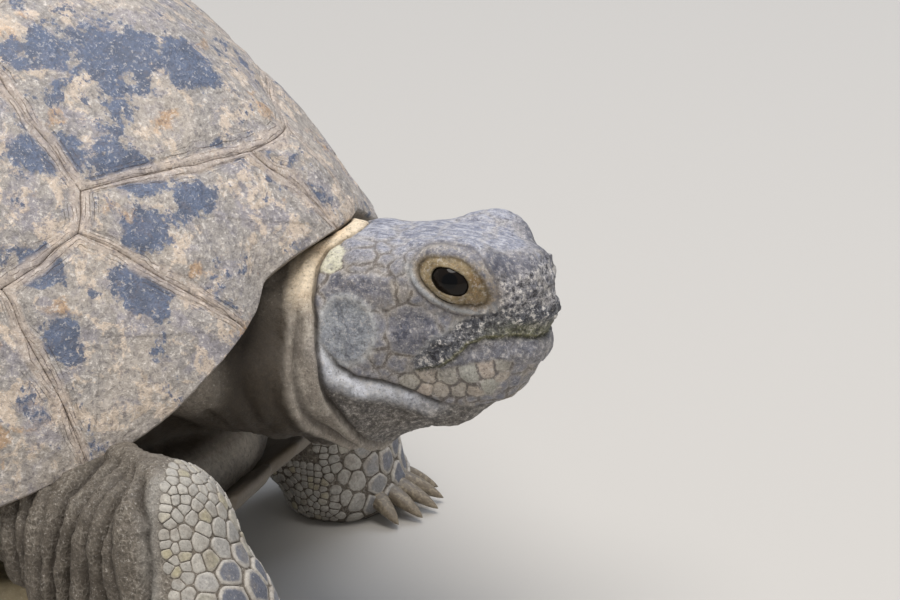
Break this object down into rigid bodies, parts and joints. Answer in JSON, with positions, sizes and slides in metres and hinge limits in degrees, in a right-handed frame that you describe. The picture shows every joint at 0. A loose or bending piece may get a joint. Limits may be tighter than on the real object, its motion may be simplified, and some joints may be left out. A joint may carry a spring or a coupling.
{
  "type": "tortoise",
  "caption": "Adult Mediterranean spur-thighed tortoise standing with its head held out, a life-size still model with a domed shell of separate horn plates",
  "frame": {"origin": "middle of the bounding box, on the ground the soles stand on", "axes": "head towards +X, the animal's left side towards +Y, back upwards towards +Z"},
  "size_m": [0.2333, 0.144, 0.12],
  "materials": {
    "carapace_horn": "dry weathered horn, dusty, pinkish tan with slate blotches",
    "plastron_horn": "smooth worn horn, yellow-brown with dark blotches",
    "hide": "dry scaly skin, grey with yellowish and violet-grey scales",
    "eye": "wet, glossy, almost black"
  },
  "bodies": {
    "root": {"nuchal": "carapace_horn", "vertebral_1": "carapace_horn", "vertebral_2": "carapace_horn", "vertebral_3": "carapace_horn", "vertebral_4": "carapace_horn", "vertebral_5": "carapace_horn", "costal_left_1": "carapace_horn", "costal_left_2": "carapace_horn", "costal_left_3": "carapace_horn", "costal_left_4": "carapace_horn", "costal_right_1": "carapace_horn", "costal_right_2": "carapace_horn", "costal_right_3": "carapace_horn", "costal_right_4": "carapace_horn", "marginal_left_1": "carapace_horn", "marginal_left_2": "carapace_horn", "marginal_left_3": "carapace_horn", "marginal_left_4": "carapace_horn", "marginal_left_5": "carapace_horn", "marginal_left_6": "carapace_horn", "marginal_left_7": "carapace_horn", "marginal_left_8": "carapace_horn", "marginal_left_9": "carapace_horn", "marginal_left_10": "carapace_horn", "marginal_left_11": "carapace_horn", "marginal_right_1": "carapace_horn", "marginal_right_2": "carapace_horn", "marginal_right_3": "carapace_horn", "marginal_right_4": "carapace_horn", "marginal_right_5": "carapace_horn", "marginal_right_6": "carapace_horn", "marginal_right_7": "carapace_horn", "marginal_right_8": "carapace_horn", "marginal_right_9": "carapace_horn", "marginal_right_10": "carapace_horn", "marginal_right_11": "carapace_horn", "supracaudal": "carapace_horn", "plastron_front": "plastron_horn", "plastron_hind": "plastron_horn", "bridge_left": "plastron_horn", "bridge_right": "plastron_horn", "head": "hide", "neck": "hide", "trunk": "hide", "tail": "hide", "foreleg_left": "hide", "foreleg_right": "hide", "hindleg_left": "hide", "hindleg_right": "hide", "eye_left": "eye", "eye_right": "eye"}
  },
  "joints": []
}
